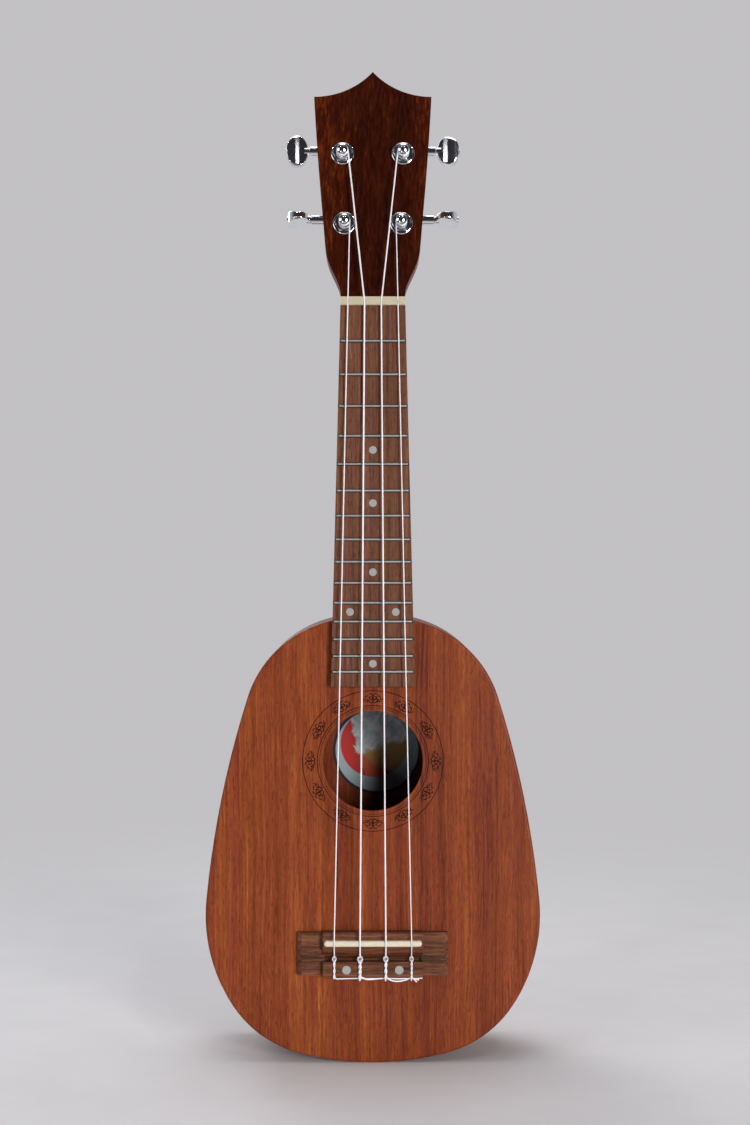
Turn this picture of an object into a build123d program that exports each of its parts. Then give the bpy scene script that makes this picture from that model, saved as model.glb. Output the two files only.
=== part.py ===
from build123d import *
import math
import os

os.makedirs("parts", exist_ok=True)

# Soprano pineapple ukulele, upright, in millimetres.
# X to the right of someone facing it, Y from the face to the back, Z up along the neck.
# The origin is on the centre line, in the plane of the soundboard's outer face,
# at the end of the fingerboard where it meets the nut.

# ---- driving dimensions ----
SCALE = 345.0            # nut to the octave twice over, without compensation
FRETS = 15
BODY_JOINT_FRET = 12

# Body outline: tangent arcs from the top of the centre line down the right side (radius, turn).
# The last arc, at the tail, takes the radius that closes the outline on the centre line.
BODY_TOP = -169.3
BODY_ARCS = [(91.0, 19.6), (62.0, 52.8), (540.0, 12.1), (90.5, 39.1), (62.5, 42.2)]
BODY_DEPTH_NECK = 54.0   # face to back at the neck
BODY_DEPTH_TAIL = 62.0   # face to back at the tail
PLATE_T = 2.0
SIDE_T = 1.8
FACE_ROUND = 1.4
LINING_W = 4.2
LINING_H = 6.5

HOLE_Z = -249.4
HOLE_R = 27.5
LABEL_R = 25.5
LABEL_T = 0.2
LABEL_X = 2.5
LABEL_Z = -249.9

BOARD_T = 4.5            # fingerboard thickness
BOARD_END = -208.4
NUT_HALF_W = 17.7
BOARD_END_HALF_W = 23.0
FRET_W = 2.0
FRET_H = 1.0
TANG_W = 0.6
TANG_H = 1.5
DOT_R = 2.1
DOT_T = 1.0
DOT_FRETS = [(5, 0.0), (7, 0.0), (10, 0.0), (12, -12.5), (12, 12.5), (15, 0.0)]

NUT_T = 4.75
NUT_TOP = -6.7
NUT_FLOOR = -5.9         # underside of the strings at the nut
SADDLE_TOP = -9.4        # underside of the strings at the saddle
SADDLE_Z = -348.0
SADDLE_T = 3.2
SADDLE_LEN = 53.4
SADDLE_SEAT = -4.2

BRIDGE_FRONT = -342.3
BRIDGE_REAR = -367.0
BRIDGE_HALF_W = 41.2
BRIDGE_BLOCK_HALF_W = 27.3
BRIDGE_TOP = -7.2
WING_TOP = -3.8
WING_END = -2.2
TIE_FRONT = -358.4
TIE_TOP = -6.6
TIE_HOLE_Y = -3.4
TIE_HOLE_R = 0.8
CHANNEL_Y = -2.4
BRIDGE_DOT_X = 14.4
BRIDGE_DOT_Z = -362.8
BRIDGE_DOT_R = 2.35
BOLT_R = 1.5

# Headstock, in its own plane: x across, s up its face, h out of its face.
HEAD_TILT = 10.0
HEAD_T = 12.0
VENEER_T = 1.6
HEAD_START = 4.8
HEAD_SIDE = [(17.7, 0.0), (18.9, 7.9), (21.4, 13.6), (24.4, 20.7), (26.9, 37.5), (29.0, 61.5), (31.05, 88.0)]
HEAD_CORNER = (32.9, 117.7)
HEAD_PEAK = 132.6

# String names, gauge, place at the nut and at the saddle, and the post each one goes to.
NUT_SPREAD = 27.3
SADDLE_SPREAD = 42.2
STRING_NAMES = ["g", "c", "e", "a"]
STRING_D = [0.66, 0.92, 0.81, 0.58]
LOWER_POST = (15.7, 42.9)
UPPER_POST = (16.9, 83.7)
POSTS = [(-1, LOWER_POST), (-1, UPPER_POST), (1, UPPER_POST), (1, LOWER_POST)]
BUTTON_TURNS = [90.0, 6.0, -8.0, 90.0]   # how far each button is turned from broadside

# Sealed worm tuner
POST_R = 3.0
POST_WAIST_R = 2.5
POST_TOP = 8.8
POST_FIT = 0.06
WAIST_LOW = 3.0
WAIST_HIGH = 6.5
STRING_HOLE_H = 7.3
BUSHING_AF = 10.0
SLEEVE_R = 4.0
WASHER_R = 6.6
WASHER_T = 1.1
HEX_TOP = 2.9
GEAR_TEETH = 14
GEAR_PITCH_R = 6.4
GEAR_TIP_R = 7.0
GEAR_ROOT_R = 5.4
GEAR_W = 2.4
WORM_GAP = 9.2           # post axis to worm axis
WORM_H = -18.5           # height of the worm axis on the headstock's h axis
WORM_TIP_R = 3.3
SHAFT_R = 1.6
SHAFT_FIT = 0.06
CASE_IN = -8.6
CASE_OUT = 8.8
CASE_LOW = -8.6
CASE_HIGH = 14.2
CASE_WALL = 1.1
CASE_BACK = -22.4
COVER_T = 1.2
COLLAR_R = 3.1
COLLAR_END = 18.7
BUTTON_IN = 19.8
BUTTON_OUT = 32.2
BUTTON_WIDE = 18.0
BUTTON_DOME_R = 18.0
BUTTON_DOME_RISE = 3.9
LUG_R = 3.6
LUG_V = -11.2
LUG_T = 1.8
SCREW_R = 1.1

# ---- derived ----
turned = 0.0
reach = 0.0
for radius, turn in BODY_ARCS:
    reach += radius * (math.sin(math.radians(turned + turn)) - math.sin(math.radians(turned)))
    turned += turn
TAIL_ARC = (reach / math.sin(math.radians(turned)), 180.0 - turned)
ARCS = BODY_ARCS + [TAIL_ARC]
BODY_BOTTOM = BODY_TOP
turned = 0.0
for radius, turn in ARCS:
    start = math.radians(turned)
    end = math.radians(turned + turn)
    BODY_BOTTOM -= radius * (math.cos(start) - math.cos(end))
    turned += turn

BACK_TILT = math.atan((BODY_DEPTH_TAIL - BODY_DEPTH_NECK) / (BODY_TOP - BODY_BOTTOM))
BACK_NORMAL = (0, math.cos(BACK_TILT), math.sin(BACK_TILT))
BACK_OUTER = Plane(origin=(0, BODY_DEPTH_NECK, BODY_TOP), x_dir=(1, 0, 0), z_dir=BACK_NORMAL)
BACK_INNER = BACK_OUTER.offset(-PLATE_T)

tilt = math.radians(HEAD_TILT)
HEAD = Plane(
    origin=(0, 0, HEAD_START),
    x_dir=(1, 0, 0),
    z_dir=(0, -math.cos(tilt), math.sin(tilt)),
)
WORM_LEAD = 2.0 * math.pi * GEAR_PITCH_R / GEAR_TEETH


# ---- helpers ----
def face_plane(y):
    return Plane(origin=(0, y, 0), x_dir=(1, 0, 0), z_dir=(0, -1, 0))


def slab(sketch, y0, y1):
    """Sketch drawn in x and z, given thickness from y0 to y1."""
    return extrude(face_plane(y0) * sketch, amount=y1 - y0, dir=(0, 1, 0))


def block(x0, x1, y0, y1, z0, z1):
    centre = ((x0 + x1) / 2, (y0 + y1) / 2, (z0 + z1) / 2)
    return Pos(*centre) * Box(x1 - x0, y1 - y0, z1 - z0)


def body_outline(inset=0.0):
    """Pineapple outline moved inwards by inset."""
    x = 0.0
    z = BODY_TOP - inset
    heading = 0.0
    right = Curve()
    for radius, turn in ARCS:
        r = radius - inset
        points = []
        for part in (0.0, 0.5, 1.0):
            a = math.radians(heading)
            b = math.radians(heading + turn * part)
            points.append((x + r * (math.sin(b) - math.sin(a)), z - r * (math.cos(a) - math.cos(b))))
        right += ThreePointArc(*points)
        x, z = points[2]
        heading += turn
    return make_face(right + mirror(right, about=Plane.YZ))


def strip(z0, z1, half_w=120.0):
    """Rectangle between two heights, in x and z."""
    return Pos(0, (z0 + z1) / 2) * Rectangle(2 * half_w, abs(z1 - z0))


def behind_plate(sketch, height, y0=10.0):
    """Piece of the given height standing on the inside of the back plate."""
    piece = slab(sketch, y0, 90)
    piece = split(piece, bisect_by=BACK_INNER, keep=Keep.BOTTOM)
    return split(piece, bisect_by=BACK_INNER.offset(-height), keep=Keep.TOP)


def fret_z(n):
    return -SCALE * (1 - 2 ** (-n / 12))


def board_half_w(z):
    return NUT_HALF_W + (BOARD_END_HALF_W - NUT_HALF_W) * z / BOARD_END


def save(name, shape):
    if isinstance(shape, (list, tuple)):
        shape = Compound(children=[s for item in shape for s in item.solids()])
    export_step(shape, "parts/" + name + ".step")


def head_point(x, s, h):
    return HEAD.from_local_coords(Vector(x, s, h))


# ---- body ----
def soundboard():
    plate = slab(body_outline(), 0, PLATE_T)
    rim = plate.faces().sort_by(Axis.Y)[0].edges()
    plate = fillet(rim, FACE_ROUND)
    plate -= slab(Pos(0, HOLE_Z) * Circle(HOLE_R), -1, PLATE_T + 1)
    for x in (-BRIDGE_DOT_X, BRIDGE_DOT_X):
        plate -= slab(Pos(x, BRIDGE_DOT_Z) * Circle(BOLT_R + 0.1), -1, PLATE_T + 1)
    return plate


def back_plate():
    plate = slab(body_outline(), 30, 90)
    plate = split(plate, bisect_by=BACK_INNER, keep=Keep.TOP)
    plate = split(plate, bisect_by=BACK_OUTER, keep=Keep.BOTTOM)
    rim = plate.faces().sort_by(Axis(BACK_OUTER.origin, BACK_OUTER.z_dir))[-1].edges()
    return fillet(rim, FACE_ROUND)


def sides():
    ring = slab(body_outline() - body_outline(SIDE_T), PLATE_T, 90)
    ring = split(ring, bisect_by=BACK_INNER, keep=Keep.BOTTOM)
    left = split(ring, bisect_by=Plane.YZ, keep=Keep.BOTTOM)
    right = split(ring, bisect_by=Plane.YZ, keep=Keep.TOP)
    return left, right


NECK_BLOCK = strip(BODY_TOP + 1, BODY_TOP - SIDE_T - 26, 24)
TAIL_BLOCK = strip(BODY_BOTTOM - 1, BODY_BOTTOM + SIDE_T + 14, 20)


def end_block(area):
    piece = slab(body_outline(SIDE_T) & area, PLATE_T, 90)
    return split(piece, bisect_by=BACK_INNER, keep=Keep.BOTTOM)


def lining_area():
    return body_outline(SIDE_T) - body_outline(SIDE_T + LINING_W) - NECK_BLOCK - TAIL_BLOCK


def transverse_braces():
    inside = body_outline(SIDE_T + LINING_W)
    return [slab(inside & strip(z - 3.5, z + 3.5), PLATE_T, 11) for z in (HOLE_Z + 40, HOLE_Z - 40)]


def bridge_plate():
    plate = block(-45, 45, PLATE_T, PLATE_T + 2.2, BRIDGE_REAR - 6, BRIDGE_FRONT + 5)
    for x in (-BRIDGE_DOT_X, BRIDGE_DOT_X):
        plate -= slab(Pos(x, BRIDGE_DOT_Z) * Circle(BOLT_R + 0.1), 0, 8)
    return plate


def fan_braces():
    notch = block(-45.2, 45.2, 0, PLATE_T + 2.25, BRIDGE_REAR - 6.2, BRIDGE_FRONT + 5.2)
    bars = []
    for x, lean in ((-28.0, -9.0), (0.0, 0.0), (28.0, 9.0)):
        bar = Pos(x, -345) * Rot(0, 0, lean) * Rectangle(5, 94)
        bars.append(slab(bar, PLATE_T, PLATE_T + 6.5) - notch)
    return bars


def back_braces():
    inside = body_outline(SIDE_T + LINING_W)
    return [behind_plate(inside & strip(z - 4, z + 4), 9) for z in (-206, -296, -362)]


def label():
    along = (BODY_TOP - LABEL_Z) / math.cos(BACK_TILT)
    disc = BACK_INNER.offset(-LABEL_T) * Pos(LABEL_X, along) * Circle(LABEL_R)
    return extrude(disc, amount=LABEL_T)


# ---- neck and headstock ----
def half_oval(plane, half_w, depth):
    """Half ellipse hanging from the local x axis towards local -y."""
    oval = Ellipse(half_w, depth) - Pos(0, depth) * Rectangle(4 * half_w, 2 * depth)
    return plane * oval


def neck_section(z, depth):
    plane = Plane(origin=(0, 0, z), x_dir=(1, 0, 0), z_dir=(0, 0, -1))
    return half_oval(plane, board_half_w(min(z, 0)), depth)


def neck_shaft():
    return loft([neck_section(HEAD_START + 1.2, 12.6), neck_section(-85, 13.6), neck_section(BODY_TOP - 4, 15)])


def volute():
    """Swelling that carries the neck's round back into the flat headstock."""
    near = Plane(origin=(0, 0.4, -9), x_dir=(1, 0, 0), z_dir=(0, 0, -1))
    far = Plane(head_point(0, 24, -VENEER_T - 0.6), x_dir=(1, 0, 0), z_dir=-HEAD.y_dir)
    return loft([half_oval(near, 16.8, 11.9), half_oval(far, 17.6, HEAD_T - VENEER_T + 0.6)])


def heel():
    rows = [(3, 21.4, 34), (12, 20.0, 26), (24, 16.5, 14), (38, 13.0, 9.5), (50, 11.0, 8)]
    sections = []
    for y, half_w, out in rows:
        oval = Ellipse(half_w, out + 6) - Pos(0, -60) * Rectangle(120, 120)
        sections.append(face_plane(y) * Pos(0, BODY_TOP - 6) * oval)
    return loft(sections)


def head_outline():
    """Headstock face in x and s: flared shoulders, near-straight sides and a two-arc crown."""
    corner_x, corner_s = HEAD_CORNER
    rise = HEAD_PEAK - corner_s
    crown_r = (rise * rise + corner_x * corner_x) / (2 * rise)
    half = math.atan2(corner_x, crown_r - rise) / 2
    crown_mid = (corner_x - crown_r * math.sin(half), corner_s + crown_r * (1 - math.cos(half)))
    side = Spline(HEAD_SIDE + [HEAD_CORNER])
    crown = ThreePointArc(HEAD_CORNER, crown_mid, (0, HEAD_PEAK))
    right = Curve() + side + crown
    foot = Line((-NUT_HALF_W, 0), (NUT_HALF_W, 0))
    return make_face(right + mirror(right, about=Plane.YZ) + foot)


def head_slab(sketch, h0, h1):
    return extrude(HEAD * Pos(0, 0, h0) * sketch, amount=h1 - h0, dir=HEAD.z_dir)


def post_holes():
    holes = [Pos(side * x, s) * Circle(SLEEVE_R) for side, (x, s) in POSTS]
    return Sketch() + holes


def head_plate():
    plate = head_slab(head_outline(), -VENEER_T, 0)
    edges = plate.faces().sort_by(Axis(HEAD.origin, HEAD.z_dir))[-1].edges()
    edges = edges.filter_by(lambda e: (e @ 0.5 - HEAD.origin).dot(HEAD.y_dir) > 1)
    plate = chamfer(edges, 0.4)
    return plate - head_slab(post_holes(), -3, 1)


def head_core():
    core = head_slab(head_outline(), -HEAD_T, -VENEER_T)
    edges = core.faces().sort_by(Axis(HEAD.origin, HEAD.z_dir))[0].edges()
    edges = edges.filter_by(lambda e: (e @ 0.5 - HEAD.origin).dot(HEAD.y_dir) > 1)
    return chamfer(edges, 0.8)


def neck():
    body = neck_shaft() + heel() + volute() + head_core()
    body -= slab(body_outline(), -5, 90)
    body -= head_slab(Pos(0, 30) * Rectangle(120, 60), -VENEER_T, 8)
    body -= head_slab(post_holes(), -20, 1)
    for side, (x, s) in POSTS:
        body -= head_slab(Pos(side * x, s + LUG_V) * Circle(SCREW_R), -20, -5.5)
    return body


# ---- fingerboard, frets, nut ----
def board_area(inset=0.0):
    w0 = NUT_HALF_W - inset
    w1 = BOARD_END_HALF_W - inset
    return make_face(Polyline((-w0, 0), (w0, 0), (w1, BOARD_END), (-w1, BOARD_END), close=True))


def dot_spots():
    return [(x, (fret_z(n) + fret_z(n - 1)) / 2) for n, x in DOT_FRETS]


def fingerboard():
    board = slab(board_area(), -BOARD_T, 0)
    board = chamfer(board.faces().sort_by(Axis.Y)[0].edges().sort_by(Axis.Z)[:1], 0.4)
    for n in range(1, FRETS + 1):
        z = fret_z(n)
        board -= block(-40, 40, -BOARD_T - 1, -BOARD_T + TANG_H, z - TANG_W / 2, z + TANG_W / 2)
    for x, z in dot_spots():
        board -= slab(Pos(x, z) * Circle(DOT_R), -BOARD_T - 1, -BOARD_T + DOT_T)
    return board


def fret(n):
    """T-shaped wire with a round crown and bevelled ends."""
    z = fret_z(n)
    w = board_half_w(z) - 0.2
    cross = Plane(origin=(-w, 0, 0), x_dir=(0, 1, 0), z_dir=(1, 0, 0))
    crown = ThreePointArc((-BOARD_T, z - FRET_W / 2), (-BOARD_T - FRET_H, z), (-BOARD_T, z + FRET_W / 2))
    crown_face = make_face(crown + Line((-BOARD_T, z + FRET_W / 2), (-BOARD_T, z - FRET_W / 2)))
    tang = Pos(-BOARD_T + TANG_H / 2, z) * Rectangle(TANG_H, TANG_W)
    wire = extrude(cross * (crown_face + tang), amount=2 * w)
    top = w - 0.7
    bevel = make_face(Polyline((-w, 0), (-w, -BOARD_T), (-top, -BOARD_T - FRET_H - 0.1),
                               (top, -BOARD_T - FRET_H - 0.1), (w, -BOARD_T), (w, 0), close=True))
    return wire & extrude(Plane.XY.offset(z - 3) * bevel, amount=6)


def position_dots():
    return [slab(Pos(x, z) * Circle(DOT_R), -BOARD_T, -BOARD_T + DOT_T) for x, z in dot_spots()]


def along(p, q, width, depth_below, height, extra):
    """Bar round the straight line from p to q: width across, from depth_below under it upwards."""
    p = Vector(*p)
    q = Vector(*q)
    run = (q - p).normalized()
    across = run.cross(Vector(0, -1, 0)).normalized()
    frame = Plane(origin=p - run * extra, x_dir=across, z_dir=run)
    out = frame.to_local_coords(frame.origin + Vector(0, -1, 0)).Y
    middle = (height - depth_below) / 2 * (1 if out > 0 else -1)
    bar = Pos(0, middle) * Rectangle(width, height + depth_below)
    return extrude(frame * bar, amount=(q - p).length + 2 * extra)


def nut():
    side_view = make_face(Polyline((0, 0), (0, NUT_TOP + 0.5), (0.5, NUT_TOP), (2.4, NUT_TOP),
                                   (NUT_T, NUT_TOP + 1.3), (NUT_T, 0), close=True))
    cross = Plane(origin=(-NUT_HALF_W, 0, 0), x_dir=(0, 0, 1), z_dir=(-1, 0, 0))
    piece = extrude(cross * side_view, amount=-2 * NUT_HALF_W)
    for k in range(4):
        route = string_route(k)
        width = STRING_D[k] + 0.12
        under = STRING_D[k] / 2 + 0.02
        piece -= along(route["nut"], route["saddle"], width, under, 4, 3)
        piece -= along(route["nut"], route["post"], width, under, 4, 0.6)
    return piece


# ---- bridge ----
def string_x(k, spread):
    return spread * (k / 3 - 0.5)


def bridge():
    wings = []
    for side in (-1, 1):
        x0 = side * (BRIDGE_BLOCK_HALF_W - 1)
        x1 = side * BRIDGE_HALF_W
        shape = make_face(Polyline((x0, 0), (x0, WING_TOP), (x1 - side * 2.2, WING_TOP + 0.2),
                                   (x1, WING_END), (x1, 0), close=True))
        wings.append(extrude(Plane.XY.offset(BRIDGE_REAR + 0.6) * shape, amount=BRIDGE_FRONT - BRIDGE_REAR - 1.2))
    outline = Polyline((BRIDGE_REAR, 0), (BRIDGE_REAR, TIE_TOP + 0.8), (BRIDGE_REAR + 0.8, TIE_TOP),
                       (TIE_FRONT, TIE_TOP), (TIE_FRONT, CHANNEL_Y), (TIE_FRONT + 1.0, CHANNEL_Y),
                       (SADDLE_Z - SADDLE_T / 2 - 0.8, BRIDGE_TOP), (BRIDGE_FRONT - 0.8, BRIDGE_TOP),
                       (BRIDGE_FRONT, BRIDGE_TOP + 0.8), (BRIDGE_FRONT, 0), close=True)
    cross = Plane(origin=(-BRIDGE_BLOCK_HALF_W, 0, 0), x_dir=(0, 0, 1), z_dir=(-1, 0, 0))
    centre = extrude(cross * make_face(outline), amount=-2 * BRIDGE_BLOCK_HALF_W)
    piece = centre + wings
    piece -= slab(Pos(0, SADDLE_Z) * SlotOverall(SADDLE_LEN, SADDLE_T), -20, SADDLE_SEAT)
    for k in range(4):
        x = string_x(k, SADDLE_SPREAD)
        drill = Pos(x, TIE_HOLE_Y, (TIE_FRONT + BRIDGE_REAR) / 2) * Cylinder(TIE_HOLE_R, 12)
        piece -= drill
    for x in (-BRIDGE_DOT_X, BRIDGE_DOT_X):
        piece -= slab(Pos(x, BRIDGE_DOT_Z) * Circle(BRIDGE_DOT_R), -20, TIE_TOP + 3.4)
        piece -= slab(Pos(x, BRIDGE_DOT_Z) * Circle(BOLT_R + 0.1), -20, 1)
    return piece


def saddle():
    bar = slab(Pos(0, SADDLE_Z) * SlotOverall(SADDLE_LEN, SADDLE_T), SADDLE_TOP, SADDLE_SEAT)
    bar = fillet(bar.faces().sort_by(Axis.Y)[0].edges(), 1.1)
    for k in range(4):
        route = string_route(k)
        width = STRING_D[k] + 0.12
        bar -= along(route["saddle"], route["corners"][3], width, STRING_D[k] / 2 + 0.05, 3, 0)
    return bar


def bridge_dot(x):
    return slab(Pos(x, BRIDGE_DOT_Z) * Circle(BRIDGE_DOT_R), TIE_TOP, TIE_TOP + 1.0)


def bridge_bolt(x):
    head = slab(Pos(x, BRIDGE_DOT_Z) * Circle(2.2), TIE_TOP + 1.4, TIE_TOP + 3.4)
    head -= slab(Pos(x, BRIDGE_DOT_Z) * Rectangle(3.2, 0.7), TIE_TOP + 1.0, TIE_TOP + 2.2)
    shank = slab(Pos(x, BRIDGE_DOT_Z) * Circle(BOLT_R), TIE_TOP + 3.4, 8.6)
    return head + shank


def bridge_nut(x):
    y0 = PLATE_T + 2.2
    washer = slab(Pos(x, BRIDGE_DOT_Z) * Circle(4.0), y0, y0 + 0.8)
    hexagon = slab(Pos(x, BRIDGE_DOT_Z) * RegularPolygon(2.75, 6, major_radius=False), y0 + 0.8, y0 + 3.2)
    return washer + hexagon - slab(Pos(x, BRIDGE_DOT_Z) * Circle(BOLT_R), 0, 12)


# ---- strings ----
ARRIVAL_H = HEX_TOP + 0.45 + max(STRING_D) / 2


def string_route(k):
    """Corner points of string k from its knot to its post, and the turn round the post."""
    r = STRING_D[k] / 2
    side, (post_x, post_s) = POSTS[k]
    post_x *= side
    saddle_x = string_x(k, SADDLE_SPREAD)
    nut_point = Vector(string_x(k, NUT_SPREAD), NUT_FLOOR - r - 0.04, 1.6)
    saddle_point = Vector(saddle_x, SADDLE_TOP - r - 0.1, SADDLE_Z)
    start = HEAD.to_local_coords(nut_point)
    wrap_r = POST_WAIST_R + r + 0.1
    dx = post_x - start.X
    ds = post_s - start.Y
    gap = math.hypot(dx, ds)
    aim = math.atan2(ds, dx) + side * math.asin(wrap_r / gap)
    run = math.sqrt(gap * gap - wrap_r * wrap_r)
    touch = Vector(start.X + run * math.cos(aim), start.Y + run * math.sin(aim), ARRIVAL_H)
    inward = Vector(post_x - touch.X, post_s - touch.Y, 0).normalized()
    heading = (touch - start).normalized()
    centre = touch + inward * wrap_r
    turn = []
    for angle in (0.0, 135.0, 270.0):
        a = math.radians(angle)
        local = centre - inward * (wrap_r * math.cos(a)) + heading * (wrap_r * math.sin(a))
        turn.append(HEAD.from_local_coords(local))
    top = TIE_TOP - r - 0.12
    rear = BRIDGE_REAR - r - 0.25
    return {
        "corners": [
            Vector(saddle_x, top, TIE_FRONT + 0.9),
            Vector(saddle_x, top, rear),
            Vector(saddle_x, TIE_HOLE_Y, rear),
            Vector(saddle_x, TIE_HOLE_Y, TIE_FRONT - 0.2),
            saddle_point,
            nut_point,
            turn[0],
        ],
        "radii": [1.15, 1.15, 1.6, 1.6, 4.0],
        "nut": nut_point,
        "saddle": saddle_point,
        "post": turn[0],
        "turn": turn,
        "end_angle": math.atan2(local.Y - post_s, local.X - post_x),
    }


def string(k):
    """String k in one length: tie loop, over saddle and nut, and three quarters round its post."""
    route = string_route(k)
    points = route["corners"]
    path = []
    here = points[0]
    for i, radius in enumerate(route["radii"]):
        corner = points[i + 1]
        back = (points[i] - corner).normalized()
        ahead = (points[i + 2] - corner).normalized()
        half = math.radians(back.get_angle(ahead)) / 2
        reach = radius / math.tan(half)
        begin = corner + back * reach
        finish = corner + ahead * reach
        middle = corner + (back + ahead).normalized() * (radius / math.sin(half) - radius)
        path.append(Line(here, begin))
        path.append(ThreePointArc(begin, middle, finish))
        here = finish
    path.append(Line(here, points[-1]))
    path.append(ThreePointArc(*route["turn"]))
    wire = Wire(path)
    cord = sweep(Plane(origin=wire @ 0, z_dir=wire % 0) * Circle(STRING_D[k] / 2), path=wire)
    print("string", STRING_NAMES[k], "length", round(wire.length, 1), "volume", round(cord.volume, 2),
          "expected", round(math.pi * STRING_D[k] ** 2 / 4 * wire.length, 2))
    return cord


def winding(k):
    """Turns of the string on its post, above the turn that arrives from the nut."""
    r = STRING_D[k] / 2
    side, (x, s) = POSTS[k]
    pitch = STRING_D[k] + 0.05
    turns = math.floor((WAIST_HIGH - ARRIVAL_H - 3 * r - 0.2) / pitch * 2) / 2
    coil = Helix(pitch, turns * pitch, POST_WAIST_R + r + 0.01, lefthand=side > 0)
    tube = sweep(Plane(origin=coil @ 0, z_dir=coil % 0) * Circle(r), path=coil, is_frenet=True)
    lift = ARRIVAL_H + STRING_D[k] + 0.15
    turned = math.degrees(string_route(k)["end_angle"])
    return HEAD.location * Pos(side * x, s, lift) * Rot(0, 0, turned) * tube


# ---- tuners: drawn round their own post axis, u outwards, v up the headstock, h out of its face ----
def tuner_place(k):
    side, (x, s) = POSTS[k]
    return HEAD.location * Pos(side * x, s, 0)


def span(side, a, b):
    return (a * side, b * side) if side > 0 else (b * side, a * side)


def across_bar(radius, side, u0, u1):
    """Round bar on the worm axis between u0 and u1."""
    middle = side * (u0 + u1) / 2
    return Pos(middle, WORM_GAP, WORM_H) * Rot(0, 90, 0) * Cylinder(radius, u1 - u0)


def case_block(side, inset, h0, h1, corner):
    u0, u1 = span(side, CASE_IN + inset, CASE_OUT - inset)
    v0 = CASE_LOW + inset
    v1 = CASE_HIGH - inset
    area = Pos((u0 + u1) / 2, (v0 + v1) / 2, h0) * RectangleRounded(u1 - u0, v1 - v0, corner)
    return extrude(area, amount=h1 - h0)


def tuner_housing(side):
    case = case_block(side, 0, CASE_BACK, -HEAD_T, 2.6)
    case += across_bar(COLLAR_R + 0.4, side, CASE_OUT - 0.5, 12.4)
    case += across_bar(COLLAR_R, side, 8, COLLAR_END)
    lug = Pos(0, LUG_V, -HEAD_T - LUG_T) * Circle(LUG_R) + Pos(0, LUG_V + 2, -HEAD_T - LUG_T) * Rectangle(2 * LUG_R, 4)
    case += extrude(lug, amount=LUG_T, dir=(0, 0, 1))
    case -= case_block(side, CASE_WALL, CASE_BACK - 1, -HEAD_T - 2.2, 2.0)
    case -= Pos(0, 0, -HEAD_T) * Cylinder(POST_R + POST_FIT, 8)
    case -= across_bar(SHAFT_R + SHAFT_FIT, side, 0, COLLAR_END + 1)
    case -= Pos(0, LUG_V, -HEAD_T) * Cylinder(SCREW_R, 8)
    return case


def tuner_cover(side):
    cover = case_block(side, 0, CASE_BACK - COVER_T, CASE_BACK, 2.6)
    return chamfer(cover.faces().sort_by(Axis.Z)[0].edges(), 0.5)


def tuner_bushing():
    hexagon = extrude(Pos(0, 0, WASHER_T) * RegularPolygon(BUSHING_AF / 2, 6, major_radius=False), amount=HEX_TOP - WASHER_T)
    dome = Pos(0, 0, HEX_TOP - 6.4) * Sphere(8.1)
    hexagon &= dome
    sleeve = Pos(0, 0, (WASHER_T - HEAD_T) / 2) * Cylinder(SLEEVE_R, HEAD_T + WASHER_T)
    return hexagon + sleeve - Cylinder(POST_R + POST_FIT, 60)


def tuner_washer():
    ring = extrude(Circle(WASHER_R) - Circle(SLEEVE_R), amount=WASHER_T)
    return fillet(ring.faces().sort_by(Axis.Z)[-1].edges().sort_by(SortBy.RADIUS)[-1:], 0.95)


def mounting_screw():
    head = Pos(0, LUG_V, -HEAD_T - LUG_T - 0.6) * Cylinder(2.1, 1.2)
    head = fillet(head.faces().sort_by(Axis.Z)[0].edges(), 0.7)
    cross = Box(2.4, 0.6, 1.4) + Box(0.6, 2.4, 1.4)
    head -= Pos(0, LUG_V, -HEAD_T - LUG_T - 1.2) * cross
    shank_low = -HEAD_T - LUG_T
    shank = Pos(0, LUG_V, (shank_low - 5.5) / 2) * Cylinder(SCREW_R, -5.5 - shank_low)
    return head + shank


def post():
    """String post with a waist for the windings and a domed top."""
    foot = -21.4
    body = Pos(0, 0, (foot + POST_TOP) / 2) * Cylinder(POST_R, POST_TOP - foot)
    body &= Pos(0, 0, POST_TOP - 4.4) * Sphere(4.4) + Pos(0, 0, -20) * Cylinder(8, 2 * (POST_TOP + 16))
    ring = Cylinder(POST_R + 1, WAIST_HIGH - WAIST_LOW) - Cylinder(POST_WAIST_R, WAIST_HIGH - WAIST_LOW)
    body -= Pos(0, 0, (WAIST_LOW + WAIST_HIGH) / 2) * ring
    return body - Pos(0, 0, STRING_HOLE_H) * Rot(0, 90, 0) * Cylinder(0.6, 20)


def gear():
    wheel = Circle(GEAR_ROOT_R)
    tooth = make_face(Polyline((GEAR_ROOT_R - 0.4, -0.72), (GEAR_TIP_R, -0.3), (GEAR_TIP_R, 0.3),
                               (GEAR_ROOT_R - 0.4, 0.72), close=True))
    step = 360.0 / GEAR_TEETH
    for i in range(GEAR_TEETH):
        wheel += Rot(0, 0, 90 + (i + 0.5) * step) * tooth
    return extrude(Pos(0, 0, WORM_H - GEAR_W / 2) * (wheel - Circle(POST_R)), amount=GEAR_W)


def worm_thread():
    """Right-hand thread, three leads long, with its middle facing the gear."""
    coil = Helix(WORM_LEAD, 3 * WORM_LEAD, SHAFT_R)
    start = Plane(origin=coil @ 0, x_dir=(1, 0, 0), z_dir=coil % 0)
    profile = make_face(Polyline((-0.3, -0.6), (WORM_TIP_R - SHAFT_R, -0.26), (WORM_TIP_R - SHAFT_R, 0.26),
                                 (-0.3, 0.6), close=True))
    thread = sweep(start * profile, path=coil, is_frenet=True)
    place = Plane(origin=(-1.5 * WORM_LEAD, WORM_GAP, WORM_H), x_dir=(0, 1, 0), z_dir=(1, 0, 0))
    return place.location * thread


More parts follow.
